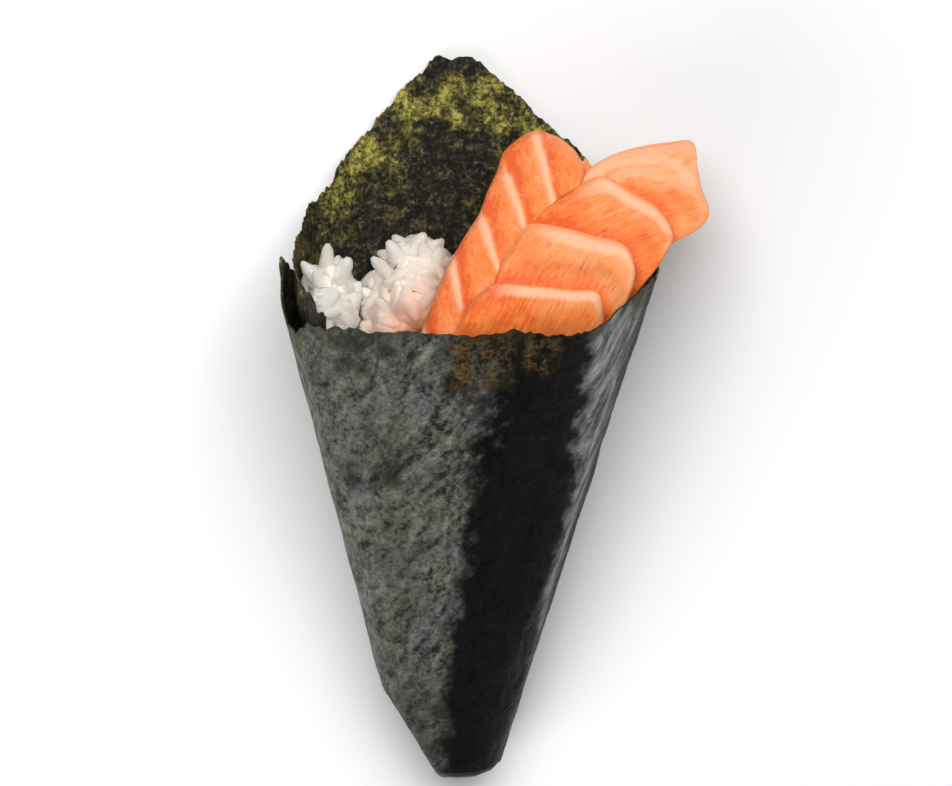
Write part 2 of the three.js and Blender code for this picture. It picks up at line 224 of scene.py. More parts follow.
# camera, floor and light
camera = {
    "rise": 19.0,        # degrees above level when the roll stands
    "distance": 1.7,
    "mmPerPixel": 0.21,
    "target": (2.9, 10.0, 85.9),
}
sight = np.radians(camera["rise"]) - lean
lens = bpy.data.cameras.new("camera")
lens.sensor_width = 36.0
lens.lens = 36.0 * camera["distance"] / (952 * camera["mmPerPixel"] / 1000)
lens.clip_start, lens.clip_end = 0.1, 20.0
eye = bpy.data.objects.new("camera", lens)
target = laid(*camera["target"])
eye.location = Vector(target) + Vector((0.0, np.sin(sight), np.cos(sight))) * camera["distance"]
eye.rotation_euler = (-sight, 0.0, 0.0)
bpy.context.scene.collection.objects.link(eye)
bpy.context.scene.camera = eye

studio = {
    "fill": 0.09,
    # name: place, aims at, size, power
    "lights": {
        "leftBox": ((-0.95, -0.95, 0.62), (0.0, 0.0, 0.03), (1.15, 0.95), 13.5),
        "topBox": ((0.1, 0.75, 1.35), (0.0, 0.0, 0.02), (1.5, 1.1), 27.0),
    },
}
for name, (place, aim, size, power) in studio["lights"].items():
    lamp = bpy.data.lights.new(name, "AREA")
    lamp.shape = "RECTANGLE"
    lamp.size, lamp.size_y = size
    lamp.energy = power
    box = bpy.data.objects.new(name, lamp)
    box.location = place
    box.rotation_euler = (Vector(aim) - Vector(place)).to_track_quat("-Z", "Y").to_euler()
    bpy.context.scene.collection.objects.link(box)
world = bpy.data.worlds.new("studio")
world.use_nodes = True
world.node_tree.nodes["Background"].inputs["Color"].default_value = (1.0, 1.0, 1.0, 1.0)
world.node_tree.nodes["Background"].inputs["Strength"].default_value = studio["fill"]
bpy.context.scene.world = world
bpy.context.scene.view_settings.view_transform = "Standard"

floorMaterial, floorTree, floorShader = newMaterial("paleFloor")
floorTone = noiseOf(floorTree, objectPlace(floorTree), 9.0, 2.0)
floorTree.links.new(blend(floorTree, floorTone, (0.93, 0.93, 0.93), (0.95, 0.95, 0.95)),
                    floorShader.inputs["Base Color"])
floorShader.inputs["Roughness"].default_value = 0.75
floorShader.inputs["Specular IOR Level"].default_value = 0.2
reach = np.array([[-3, -3], [3, -3], [3, 3], [-3, 3]], dtype=float)
floor = putMesh("floor", np.c_[reach, np.full(4, -0.0002)], [np.array([[0, 1, 2, 3]])], [floorMaterial])
print("camera, floor and light set")

# seaweed wrap
wrap = {
    "columns": 540, "rows": 120, "thickness": 0.42,
    "innerEdge": 50.0, "outerEdge": 495.0,
    "layerPitch": 1.25, "innerLapGap": 3.0, "restingTurn": 18.0,
    "wave": 0.35, "crumple": 0.2, "wrinkle": 0.1, "grit": 0.035,
    "tipHeight": 145.4, "tipLeft": -5.8, "tipRight": 2.0,
    "leftSlope": 0.993, "rightSlope": 0.84,
    "sideRim": 111.4, "outerCorner": 97.0,
    "ragged": 0.4, "torn": 0.9, "curl": 1.3,
    "endProfile": [(-3.8, 0.05), (-3.7, 0.3), (-3.3, 0.55), (-2.6, 0.74), (-1.7, 0.87), (-0.6, 0.95),
                   (1.0, 0.985), (6.0, 0.985)],
}


def lapInset(turn, w):
    # how far inside the outermost face the sheet's first turn lies
    apart = wrap["layerPitch"] * (1 - smooth(wrap["outerEdge"] - 360, 180 - wrap["restingTurn"], turn))
    bulge = wrap["innerLapGap"] * (1 - smooth(wrap["innerEdge"], wrap["outerEdge"] - 360, turn))
    return apart + bulge * along(roll["endWidth"], roll["rimWidth"], w) / roll["rimWidth"]


def rimHeight(turn):
    # level in front, higher at the sides, and over the back the lower of the flap's two straight
    # edges w = tip - slope * across, solved where they cross the cone
    wobble = 0.35 * np.sin(turn * 0.31) + 0.25 * np.sin(turn * 0.83 + 1)
    s = np.sin(np.radians(turn))
    c = np.cos(np.radians(turn))
    power = roll["power"] + roll["frontLeftPower"] * 2 * np.maximum(0, s) * np.maximum(0, c)
    across = -np.sign(s) * np.abs(s) ** (2 / power)
    atEnd = roll["endShift"] + roll["endWidth"] / 2 * across
    perHeight = (roll["rimShift"] + roll["rimWidth"] / 2 * across - atEnd) / roll["length"]
    left = (wrap["tipHeight"] - wrap["leftSlope"] * (wrap["tipLeft"] - atEnd)) / (1 - wrap["leftSlope"] * perHeight)
    right = (wrap["tipHeight"] - wrap["rightSlope"] * (atEnd - wrap["tipRight"])) / (1 + wrap["rightSlope"] * perHeight)
    flap = np.minimum(wrap["tipHeight"], np.minimum(left, right))
    inner = wrap["sideRim"] - 5 * smooth(90, wrap["innerEdge"], turn)
    front = turn - 360
    risen = roll["length"] + (wrap["sideRim"] - roll["length"]) * smooth(-36, -68, front) - 1.6 * bump(-30, 9, front)
    dip = 4.5 * smooth(40, 74, front)
    corner = roll["length"] - dip + (wrap["sideRim"] - roll["length"] + dip) * smooth(74, 92, front)
    corner = corner - (wrap["sideRim"] - wrap["outerCorner"]) * smooth(90, wrap["outerEdge"] - 360, front)
    return np.select([turn < 90, turn < 270, front < 0], [inner, flap, risen], corner) + wobble


def sheetTurns():
    # finer steps over the flap than elsewhere
    share = [0.0, 0.09, 0.66, 1.0]
    return np.interp(np.linspace(0, 1, wrap["columns"]), share, [wrap["innerEdge"], 98.0, 268.0, wrap["outerEdge"]])


def seaweedSheet():
    # a face (turn, v) -> section point at w = v * rim, drawn in by the lap and the relief, and a
    # second face a thickness further in, joined along all four borders
    turn = sheetTurns()[:, None]
    v = 1 - (1 - np.linspace(0, 1, wrap["rows"])[None, :]) ** 1.35
    rim = rimHeight(turn)
    rimX, rimF = sectionPoint(turn, rim, 0)
    rimSpot = np.stack([rimX, rimF, rim], axis=-1)
    isFlap = smooth(100, 125, turn) * smooth(265, 240, turn)
    tears = np.maximum(0, latticeNoise(rimSpot, 1.3, 11) - 0.2) * wrap["torn"]
    fray = wrap["ragged"] * layeredNoise(rimSpot, 1.2, 2, 5) * (1 + 1.1 * isFlap * smooth(190, 170, turn))
    w = v * rim + (fray - tears) * smooth(0.9, 1.0, v)
    lies = 1 - smooth(wrap["restingTurn"], 2 * wrap["restingTurn"], np.abs(turn - 180))
    wave = wrap["wave"] * v * (1 - lies) * np.sin(turn * 0.16 + w * 0.09)
    inset = lapInset(turn, w) + np.maximum(0, wave) * smooth(520, 360, turn)
    # the outer lap's corner and the left of the mouth curl in
    inset = inset + wrap["curl"] * smooth(103, 110, w) * np.maximum(smooth(425, 440, turn), smooth(130, 115, turn))
    x, f = sectionPoint(turn, w, inset)
    spot = np.stack([x, f, w * 0.7], axis=-1)
    relief = wrap["crumple"] * creases(spot + 2.5 * layeredNoise(spot, 9, 2, 3)[..., None], 9.0, 21)
    relief = relief + wrap["wrinkle"] * layeredNoise(spot, 4.2, 2, 31) + wrap["grit"] * latticeNoise(spot, 1.5, 41)
    relief = relief + wrap["wrinkle"] * creases(spot, 3.1, 51)
    # the flap lifts a little off what it lies on
    isFlapHere = isFlap * smooth(112, 126, w)
    lift = isFlapHere * (0.5 * (1 + latticeNoise(spot, 17, 61)) + 0.5 * smooth(126, 145, w))
    relief = np.where(lies > 0, np.maximum(0, relief) * (1 - 0.7 * lies), relief)
    # one soft fold down the right of the front, from the rim towards the end
    foldShare = np.interp(w, [30, 50, 70, 87, 104], [0.70, 0.80, 0.83, 0.84, 0.69])
    share = (x - along(roll["endShift"], roll["rimShift"], w)) / (along(roll["endWidth"], roll["rimWidth"], w) / 2)
    isFront = smooth(290, 305, turn) * smooth(430, 400, turn)
    fold = np.maximum(0, 1 - np.abs(share - foldShare) / 0.22) * smooth(20, 45, w)
    relief = relief - 0.9 * fold * isFront
    shapes = []
    for depth in (0.0, wrap["thickness"]):
        sx, sf = sectionPoint(turn, w, inset + relief + lift + depth)
        shapes.append(laid(sx, sf, w).reshape(-1, 3))
    columns, rows = wrap["columns"], wrap["rows"]
    count = columns * rows
    outer = gridFaces(columns, rows)
    inner = gridFaces(columns, rows, count)[:, ::-1]
    ids = np.arange(count).reshape(columns, rows)
    border = np.concatenate([ids[:, -1], ids[-1, -2::-1], ids[-2::-1, 0], ids[0, 1:-1]])
    after = np.roll(border, -1)
    sides = np.stack([border, after, after + count, border + count], axis=-1)
    gap = (rim - w) * (1 - 0.3 * isFlap)
    sideGap = np.minimum((wrap["outerEdge"] - turn) * 0.6, (turn - wrap["innerEdge"]) * 0.6)
    gap = np.minimum(gap, sideGap + 4)
    marks = {
        "edgeGap": np.tile(gap.ravel(), 2),
        "share": np.tile(share.ravel(), 2),
        "turn": np.tile((turn + 0 * w).ravel(), 2),
        "height": np.tile(w.ravel(), 2),
    }
    return np.concatenate(shapes), [outer, inner, sides], marks


def foldedEnd():
    # the section scaled by the profile, with pleats 1 - 0.07 (1 - scale) cos(7 turn), both ends
    # closed on a pole
    turn = np.linspace(0, 360, 120, endpoint=False)[None, :]
    profile = np.array(wrap["endProfile"])
    w = np.interp(np.linspace(0, len(profile) - 1, 40), np.arange(len(profile)), profile[:, 0])[:, None]
    scale = np.interp(np.linspace(0, len(profile) - 1, 40), np.arange(len(profile)), profile[:, 1])[:, None]
    x, f = sectionPoint(turn, np.maximum(w, 0), 0.2)
    pleat = 1 - 0.09 * (1 - scale) * np.cos(np.radians(7 * turn)) - 0.05 * (1 - scale) * np.sin(np.radians(13 * turn))
    low = -halfDepth(0) * 0.25 * (1 - scale)
    spotX = roll["endShift"] + (x - roll["endShift"]) * scale * pleat
    points = laid(spotX, low + f * scale * pleat, w + 0 * turn)
    count = points.shape[0] * points.shape[1]
    ring = np.arange(120)
    poles = np.stack([points[0].mean(axis=0), points[-1].mean(axis=0)])
    faces = [gridFaces(40, 120, 0, closed=True), fanFaces(count, ring), fanFaces(count + 1, count - 120 + ring)]
    marks = {
        "edgeGap": np.full(count + 2, 30.0),
        "share": np.append(((x - roll["endShift"]) * 2 / roll["endWidth"] + 0 * w).ravel(), [0, 0]),
        "turn": np.append((np.where(turn < 135, turn + 360, turn) + 0 * w).ravel(), [360, 360]),
        "height": np.append((w + 0 * turn).ravel(), [-3.8, 6.0]),
    }
    return np.concatenate([points.reshape(-1, 3), poles]), faces, marks


def outerSeaweed():
    # semi-gloss face: green-grey, marbled, with painted light and shade on pressed fronds at two sizes;
    # the front painted paler as a painted sheen that fades to painted shade towards the folded end; a
    # smooth near-black stretch down the right of the front, painted shade where it has no sheen; past it
    # a facet painted pale with slanting streaks as a painted reflection; brown translucent patches under
    # the rim
    material, tree, shader = newMaterial("seaweedOutside")
    place = objectPlace(tree)
    share, turn, height = markOf(tree, "share"), markOf(tree, "turn"), markOf(tree, "height")
    coarse = noiseOf(tree, place, 260.0, 8.0, 0.7)
    fine = noiseOf(tree, place, 1000.0, 6.0, 0.75)
    wide = noiseOf(tree, place, 75.0, 4.0, 0.6)
    marbled = maths(tree, "ADD", maths(tree, "MULTIPLY", coarse, 0.45), maths(tree, "MULTIPLY", fine, 0.55))
    inFront = maths(tree, "MULTIPLY", remap(tree, turn, 285.0, 300.0), remap(tree, turn, 470.0, 440.0))
    # thin crinkles where a noise passes its middle value
    crossing = maths(tree, "SUBTRACT", noiseOf(tree, place, 300.0, 5.0, 0.62, 0.4), 0.5)
    crinkle = remap(tree, maths(tree, "ABSOLUTE", crossing), 0.0, 0.04, 1.0, 0.0)
    crinkle = maths(tree, "MULTIPLY", crinkle, remap(tree, share, -0.75, -0.1, 0.25, 1.0))
    # and longer, slanted folds towards the near-black stretch
    along45 = stretched(tree, stretched(tree, place, (1.0, 1.0, 1.0), (0.0, 0.0, -0.9)), (0.55, 1.0, 1.0))
    crossing = maths(tree, "SUBTRACT", noiseOf(tree, along45, 170.0, 5.0, 0.6, 0.5), 0.5)
    fold = remap(tree, maths(tree, "ABSOLUTE", crossing), 0.0, 0.045, 1.0, 0.0)
    fold = maths(tree, "MULTIPLY", fold, remap(tree, share, -0.55, 0.1, 0.15, 1.0))
    creased = maths(tree, "ADD", maths(tree, "MULTIPLY", crinkle, 0.30), maths(tree, "MULTIPLY", fold, 0.34))
    # pressed fronds as painted light and shade: a noise less the same noise a little further on, a
    # painted highlight on one side of each frond and painted shade on the other
    further = addNode(tree, "ShaderNodeMapping", {"Vector": along45, "Location": (0.0002, -0.0007, 0.0)})
    frondLightAndShade = maths(tree, "SUBTRACT", noiseOf(tree, along45, 270.0, 5.0, 0.6, 0.4),
                    noiseOf(tree, further.outputs["Vector"], 270.0, 5.0, 0.6, 0.4))
    wideFurther = addNode(tree, "ShaderNodeMapping", {"Vector": along45, "Location": (0.0004, -0.0014, 0.0)})
    wideFrondLightAndShade = maths(tree, "SUBTRACT", noiseOf(tree, along45, 120.0, 3.0, 0.6, 0.6),
                        noiseOf(tree, wideFurther.outputs["Vector"], 120.0, 3.0, 0.6, 0.6))
    frondLightAndShade = maths(tree, "ADD", frondLightAndShade, maths(tree, "MULTIPLY", wideFrondLightAndShade, 0.9))
    frondLightAndShade = maths(tree, "MULTIPLY", frondLightAndShade, remap(tree, share, -0.6, 0.0, 1.3, 2.6))
    # the mottle, with the crinkles and folds as paler lines, painted highlights on their ridges, and the fronds'
    # painted light and shade
    mottleAndShading = maths(tree, "ADD", remap(tree, marbled, 0.34, 0.74), maths(tree, "MULTIPLY", creased, 0.7))
    mottleAndShading = maths(tree, "ADD", mottleAndShading, frondLightAndShade, clamp=True)
    base = blend(tree, mottleAndShading, (0.008, 0.009, 0.007), (0.055, 0.058, 0.045))
    # the front's pale tone is a painted sheen, darker towards the folded end as painted shade
    tint = remap(tree, noiseOf(tree, place, 110.0, 3.0, 0.5), 0.42, 0.58)
    sheenTone = blend(tree, tint, (0.278, 0.278, 0.220), (0.266, 0.269, 0.255))
    litGrain = maths(tree, "MULTIPLY", mottleAndShading, remap(tree, height, 4.0, 36.0, 0.55, 1.0))
    lit = blend(tree, litGrain, (0.020, 0.021, 0.017), sheenTone)
    pits = maths(tree, "ADD", maths(tree, "MULTIPLY", wide, 0.6), maths(tree, "MULTIPLY", fine, 0.4))
    lit = blend(tree, remap(tree, pits, 0.54, 0.61, 0.0, 0.75), lit, (0.012, 0.013, 0.010))
    base = blend(tree, inFront, base, lit)
    # the near-black stretch, painted shade where the front has no sheen, with its wandering borders
    wander = maths(tree, "MULTIPLY", maths(tree, "SUBTRACT", coarse, 0.5), 0.55)
    wander = maths(tree, "ADD", wander, maths(tree, "MULTIPLY", maths(tree, "SUBTRACT", wide, 0.5), 1.1))
    wandered = maths(tree, "ADD", maths(tree, "ADD", share, wander), remap(tree, height, 90.0, 25.0, 0.0, 0.30))
    lowered = maths(tree, "MULTIPLY", maths(tree, "SUBTRACT", height, 106.0), 0.0034)
    rightOf = maths(tree, "ADD", maths(tree, "ADD", share, maths(tree, "MULTIPLY", wander, 0.3)), lowered)
    sheenlessShade = maths(tree, "MULTIPLY", remap(tree, wandered, -0.02, 0.30), remap(tree, rightOf, 0.71, 0.60))
    sheenlessShade = maths(tree, "MULTIPLY", sheenlessShade, inFront)
    sheenlessShadeTone = blend(tree, mottleAndShading, (0.0006, 0.0009, 0.0008), (0.0035, 0.0045, 0.004))
    base = blend(tree, sheenlessShade, base, sheenlessShadeTone)
    # the facet, painted pale with slanting streaks as a painted reflection
    slanted = stretched(tree, stretched(tree, place, (1.0, 1.0, 1.0), (0.0, 0.0, -1.05)), (0.22, 1.0, 1.0))
    streaks = noiseOf(tree, slanted, 420.0, 5.0, 0.65)
    facetReflection = maths(tree, "MULTIPLY", remap(tree, rightOf, 0.61, 0.74), inFront)
    facetReflectionTone = blend(tree, remap(tree, streaks, 0.38, 0.62), (0.09, 0.092, 0.09), (0.52, 0.523, 0.515))
    base = blend(tree, facetReflection, base, facetReflectionTone)
    # brown patches and a brown-green rim
    gap = markOf(tree, "edgeGap")
    patchA = maths(tree, "MULTIPLY", remap(tree, share, -0.12, -0.04), remap(tree, share, 0.32, 0.20))
    patchB = maths(tree, "MULTIPLY", remap(tree, share, 0.30, 0.36), remap(tree, share, 0.56, 0.48))
    patches = maths(tree, "ADD", maths(tree, "MULTIPLY", patchA, remap(tree, gap, 15.0, 9.0)),
                    maths(tree, "MULTIPLY", patchB, remap(tree, gap, 11.0, 7.0)))
    mottle = maths(tree, "ADD", maths(tree, "MULTIPLY", coarse, 0.5), maths(tree, "MULTIPLY", wide, 0.5))
    brown = maths(tree, "MULTIPLY", maths(tree, "MULTIPLY", patches, inFront), remap(tree, mottle, 0.45, 0.54, 0.1, 0.85))
    brownTone = blend(tree, remap(tree, marbled, 0.44, 0.58), (0.014, 0.008, 0.002), (0.17, 0.105, 0.042))
    base = blend(tree, brown, base, brownTone)
    # a green tuft under the rim at either side
    atSide = remap(tree, maths(tree, "ABSOLUTE", share), 0.84, 0.93)
    tuft = maths(tree, "MULTIPLY", maths(tree, "MULTIPLY", atSide, remap(tree, gap, 7.0, 3.0)), inFront)
    tuft = maths(tree, "MULTIPLY", tuft, remap(tree, mottle, 0.42, 0.52, 0.2, 0.9))
    tuftTone = blend(tree, remap(tree, fine, 0.42, 0.60), (0.012, 0.016, 0.004), (0.13, 0.15, 0.035))
    base = blend(tree, tuft, base, tuftTone)
    atRim = maths(tree, "MULTIPLY", remap(tree, gap, 3.0, 0.3), remap(tree, marbled, 0.44, 0.56))
    base = blend(tree, maths(tree, "MULTIPLY", atRim, 0.7), base, (0.030, 0.030, 0.010))
    tree.links.new(base, shader.inputs["Base Color"])
    gloss = remap(tree, marbled, 0.42, 0.6, 0.52, 0.36)
    gloss = maths(tree, "SUBTRACT", gloss, maths(tree, "MULTIPLY", sheenlessShade, 0.15))
    tree.links.new(gloss, shader.inputs["Roughness"])
    shader.inputs["Specular IOR Level"].default_value = 0.07
    raised = maths(tree, "ADD", maths(tree, "MULTIPLY", marbled, 0.8), maths(tree, "MULTIPLY", creased, 0.75))
    relief = addNode(tree, "ShaderNodeBump", {"Height": raised, "Strength": 0.9, "Distance": 0.0017})
    tree.links.new(relief.outputs["Normal"], shader.inputs["Normal"])
    return material


def innerSeaweed():
    # rough face: brown-black, olive and yellow-green in thin places near the cut edges
    material, tree, shader = newMaterial("seaweedInside")
    place = objectPlace(tree)
    clumps = noiseOf(tree, place, 150.0, 4.0, 0.55)
    tufts = noiseOf(tree, place, 430.0, 6.0, 0.7)
    fibres = noiseOf(tree, place, 1150.0, 5.0, 0.7)
    gap, height = markOf(tree, "edgeGap"), markOf(tree, "height")
    nearEdge = maths(tree, "MULTIPLY", remap(tree, gap, 16.0, 2.5), remap(tree, height, 106.0, 121.0, 0.2, 1.0))
    atTip = remap(tree, height, 139.5, 143.0)
    dark = maths(tree, "ADD", maths(tree, "MULTIPLY", fibres, 0.55), maths(tree, "MULTIPLY", tufts, 0.45))
    base = blend(tree, remap(tree, dark, 0.43, 0.58), (0.0035, 0.0028, 0.0015), (0.042, 0.033, 0.018))
    base = blend(tree, remap(tree, dark, 0.545, 0.63, 0.0, 0.85), base, (0.165, 0.155, 0.125))
    thin = maths(tree, "ADD", maths(tree, "MULTIPLY", nearEdge, 0.17), maths(tree, "MULTIPLY", clumps, 0.6))
    thin = maths(tree, "ADD", thin, maths(tree, "MULTIPLY", tufts, 0.4))
    thin = maths(tree, "ADD", thin, maths(tree, "MULTIPLY", maths(tree, "SUBTRACT", fibres, 0.5), 0.3))
    thin = maths(tree, "SUBTRACT", thin, maths(tree, "MULTIPLY", atTip, 0.14))
    olive = blend(tree, remap(tree, dark, 0.37, 0.63), (0.022, 0.018, 0.004), (0.17, 0.15, 0.035))
    base = blend(tree, remap(tree, thin, 0.52, 0.68, 0.0, 0.9), base, olive)
    bright = blend(tree, remap(tree, dark, 0.35, 0.63), (0.13, 0.112, 0.015), (0.68, 0.63, 0.13))
    base = blend(tree, remap(tree, thin, 0.62, 0.82, 0.0, 0.95), base, bright)
    tree.links.new(base, shader.inputs["Base Color"])
    shader.inputs["Roughness"].default_value = 0.72
    shader.inputs["Specular IOR Level"].default_value = 0.3
    height = maths(tree, "ADD", maths(tree, "MULTIPLY", tufts, 0.6), maths(tree, "MULTIPLY", fibres, 0.4))
    relief = addNode(tree, "ShaderNodeBump", {"Height": height, "Strength": 1.0, "Distance": 0.0009})
    tree.links.new(relief.outputs["Normal"], shader.inputs["Normal"])
    return material


sheetPoints, sheetFaces, sheetMarks = seaweedSheet()
endPoints, endFaces, endMarks = foldedEnd()
faceSets = sheetFaces + [faces + len(sheetPoints) for faces in endFaces]
faceMaterial = np.concatenate([np.full(len(faces), index) for faces, index in zip(faceSets, (0, 1, 1, 0, 0, 0))])
# the first lap's outer face is rough too, up to where the outer lap ends
faceMaterial[: np.searchsorted(sheetTurns(), 97.0) * (wrap["rows"] - 1)] = 1
marks = {key: np.concatenate([sheetMarks[key], endMarks[key]]) for key in sheetMarks}
seaweed = putMesh("seaweed", np.concatenate([sheetPoints, endPoints]), faceSets,
                  [outerSeaweed(), innerSeaweed()], faceMaterial, marks)
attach(seaweed, "root")
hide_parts("nori_wrap")
print("seaweed wound:", len(seaweed.data.polygons), "faces")

# salmon
salmon = {
    "sliceThickness": 4.2, "slicePitch": 4.8, "stripThickness": 7.5, "clear": 0.45,
    "stripDrop": 3.0, "stripLean": 0.42, "stripFall": 0.6,
    "tuck": 2.2,                 # how far the strip runs on under the slices
    "sliceFrom": (115.5, 123.6, 127.6),  # heights at the crease where the next slice back begins
    "rise": 2.0, "risesOver": 7.0,
    "outlinePoints": 260,
    "slices": {
        "salmonSlice1": [(-3.5, 99), (-0.8, 105.9), (3.1, 112), (7.2, 114.5), (15.1, 113.8), (23, 112.3),
                         (28.2, 111.4), (29.4, 107.5), (28.6, 100), (24, 90), (17, 78), (2, 80)],
        "salmonSlice2": [(5, 108), (7.9, 116), (10.6, 119.9), (13.5, 123.1), (21, 122.3), (27.1, 120.5),
                         (34.4, 118.2), (36, 114.6), (34.5, 108.9), (31, 99), (24, 82), (6, 84)],
        "salmonSlice3": [(9, 110), (15.2, 123), (19.2, 125.6), (23.6, 127.3), (29.7, 128.8), (35.2, 126.4),
                         (41.2, 123.6), (44.1, 119.8), (42.8, 117), (34, 105), (23, 88), (10, 92)],
        "salmonSlice4": [(20, 118), (23.0, 124), (25.2, 127.8), (29, 130.0), (35.4, 131.7), (43.6, 132.7),
                         (48.9, 132.6), (49.6, 129), (50.5, 125.5), (51.8, 122.3), (48.6, 119.3),
                         (43.4, 116.4), (33, 105), (24, 96), (14, 100)],
    },
    "fibreTurn": {"salmonSlice1": 62, "salmonSlice2": 52, "salmonSlice3": 24, "salmonSlice4": 14},
    "paler": {"salmonSlice1": 0.1, "salmonSlice2": 0.45, "salmonSlice3": 0.1, "salmonSlice4": 0.3},
    "stripLeft": [(-12, 86), (-9.8, 98), (-7.2, 105), (-3.6, 112.6), (0.4, 118.2), (3.6, 122), (5.2, 125),
                  (7.3, 128.0), (8.6, 130.4), (11.8, 132.4), (15.4, 133.8)],
    "stripRight": [(-6.5, 86), (-3.6, 99), (-0.4, 105.2), (3.7, 110.3), (7.9, 115.1), (13, 120.8), (17.5, 124),
                   (22.2, 126.2), (25.2, 128.3), (24.4, 130.8), (21.0, 133.0)],
    # pale bands across the strip, each from its upper to its lower end in front view
    "bands": [((15.4, 134.7), (17.4, 130.4), (19.2, 125.3)), ((10.0, 127.9), (11.7, 125.0), (13.1, 121.9)),
              ((4.8, 121.5), (6.0, 118.9), (7.3, 115.9)), ((-1.9, 115.0), (-1.1, 111.9), (-0.4, 108.7)),
              ((-8.6, 104.5), (-7.4, 100.5), (-6.5, 97.0))],
    # pale bands across the face of the last slice
    "backBands": [((24, 128.6), (27.7, 128.9), (31.9, 130.3), (37.2, 131.1), (41.9, 131.5), (45.6, 130.4),
                   (47.6, 128.2)),
                  ((30.6, 127.6), (35.3, 128.8), (39.9, 129.1), (44.7, 127.8), (50, 126.2))],
}


def hood(x, w):
    # top face of the uppermost slice: half the depth - 2.8, sagging to the right, leaning back
    # by 0.033 (w - 104)^2 above the rim
    return halfDepth(w) - 2.8 - 6 * smooth(8, 34, x) - 0.033 * np.maximum(0, w - 104) ** 2


def stripFace(x, w):
    # a step under the hood, leaning back, falling left of the crease x = -0.8 + 0.85 (w - 104.7)
    crease = -0.8 + 0.85 * (w - 104.7)
    back = salmon["stripLean"] * np.maximum(0, w - 104)
    return hood(x, w) - salmon["stripDrop"] - back - salmon["stripFall"] * np.maximum(0, crease - x)


def curveThrough(corners, count, closed):
    # centripetal Catmull-Rom: a cubic between corners whose end slopes weigh each side by the
    # root of its length; closed curves are then spaced evenly by length
    p = np.array(corners, dtype=float)
    p = np.concatenate([p[-1:], p, p[:2]]) if closed else np.concatenate([[2 * p[0] - p[1]], p, [2 * p[-1] - p[-2]]])
    p0, p1, p2, p3 = p[:-3, None], p[1:-2, None], p[2:-1, None], p[3:, None]
    d0, d1, d2 = (np.linalg.norm(b - a, axis=-1, keepdims=True) ** 0.5 for a, b in ((p0, p1), (p1, p2), (p2, p3)))
    m1 = ((p1 - p0) / d0 - (p2 - p0) / (d0 + d1) + (p2 - p1) / d1) * d1
    m2 = ((p2 - p1) / d1 - (p3 - p1) / (d1 + d2) + (p3 - p2) / d2) * d1
    t = np.linspace(0, 1, 60, endpoint=False)[None, :, None]
    line = (2 * t ** 3 - 3 * t ** 2 + 1) * p1 + (t ** 3 - 2 * t ** 2 + t) * m1
    line = line + (3 * t ** 2 - 2 * t ** 3) * p2 + (t ** 3 - t ** 2) * m2
    line = np.concatenate([line.reshape(-1, 2), p[1:2] if closed else p[-2:-1]])
    if closed:
        place = np.concatenate([[0], np.cumsum(np.linalg.norm(np.diff(line, axis=0), axis=1))])
        at = np.linspace(0, place[-1], count, endpoint=False)
    else:
        place, at = np.arange(len(line)), np.linspace(0, len(line) - 1, count)
    return np.stack([np.interp(at, place, line[:, 0]), np.interp(at, place, line[:, 1])], axis=-1)


def distanceTo(x, w, line):
    # least distance to a line of straight pieces, and how far along its piece, 0 to 1
    a, b = line[:-1], line[1:]
    dx, dw = b[:, 0] - a[:, 0], b[:, 1] - a[:, 1]
    t = ((x[..., None] - a[:, 0]) * dx + (w[..., None] - a[:, 1]) * dw) / (dx * dx + dw * dw)
    t = np.clip(t, 0, 1)
    away = np.hypot(x[..., None] - a[:, 0] - t * dx, w[..., None] - a[:, 1] - t * dw)
    nearest = np.argmin(away, axis=-1)[..., None]
    return np.take_along_axis(away, nearest, -1)[..., 0], np.take_along_axis(t, nearest, -1)[..., 0]


def stripRightX(w):
    edge = curveThrough(salmon["stripRight"], 400, False)
    edge = edge[: np.argmax(edge[:, 0])]
    return np.interp(w, edge[:, 1], edge[:, 0])


def beyondSlice(name, x, w):
    # distance outside a slice's outline, zero inside: the outline is star-shaped round its middle
    line = curveThrough(salmon["slices"][name], 300, True)
    middle = line.mean(axis=0)
    angle = np.arctan2(line[:, 1] - middle[1], line[:, 0] - middle[0])
    order = np.argsort(angle)
    rim = np.interp(np.arctan2(w - middle[1], x - middle[0]), angle[order],
                    np.hypot(*(line - middle).T)[order], period=2 * np.pi)
    away, _ = distanceTo(x, w, np.concatenate([line, line[:1]]))
    return np.where(np.hypot(x - middle[0], w - middle[1]) > rim, away, 0)


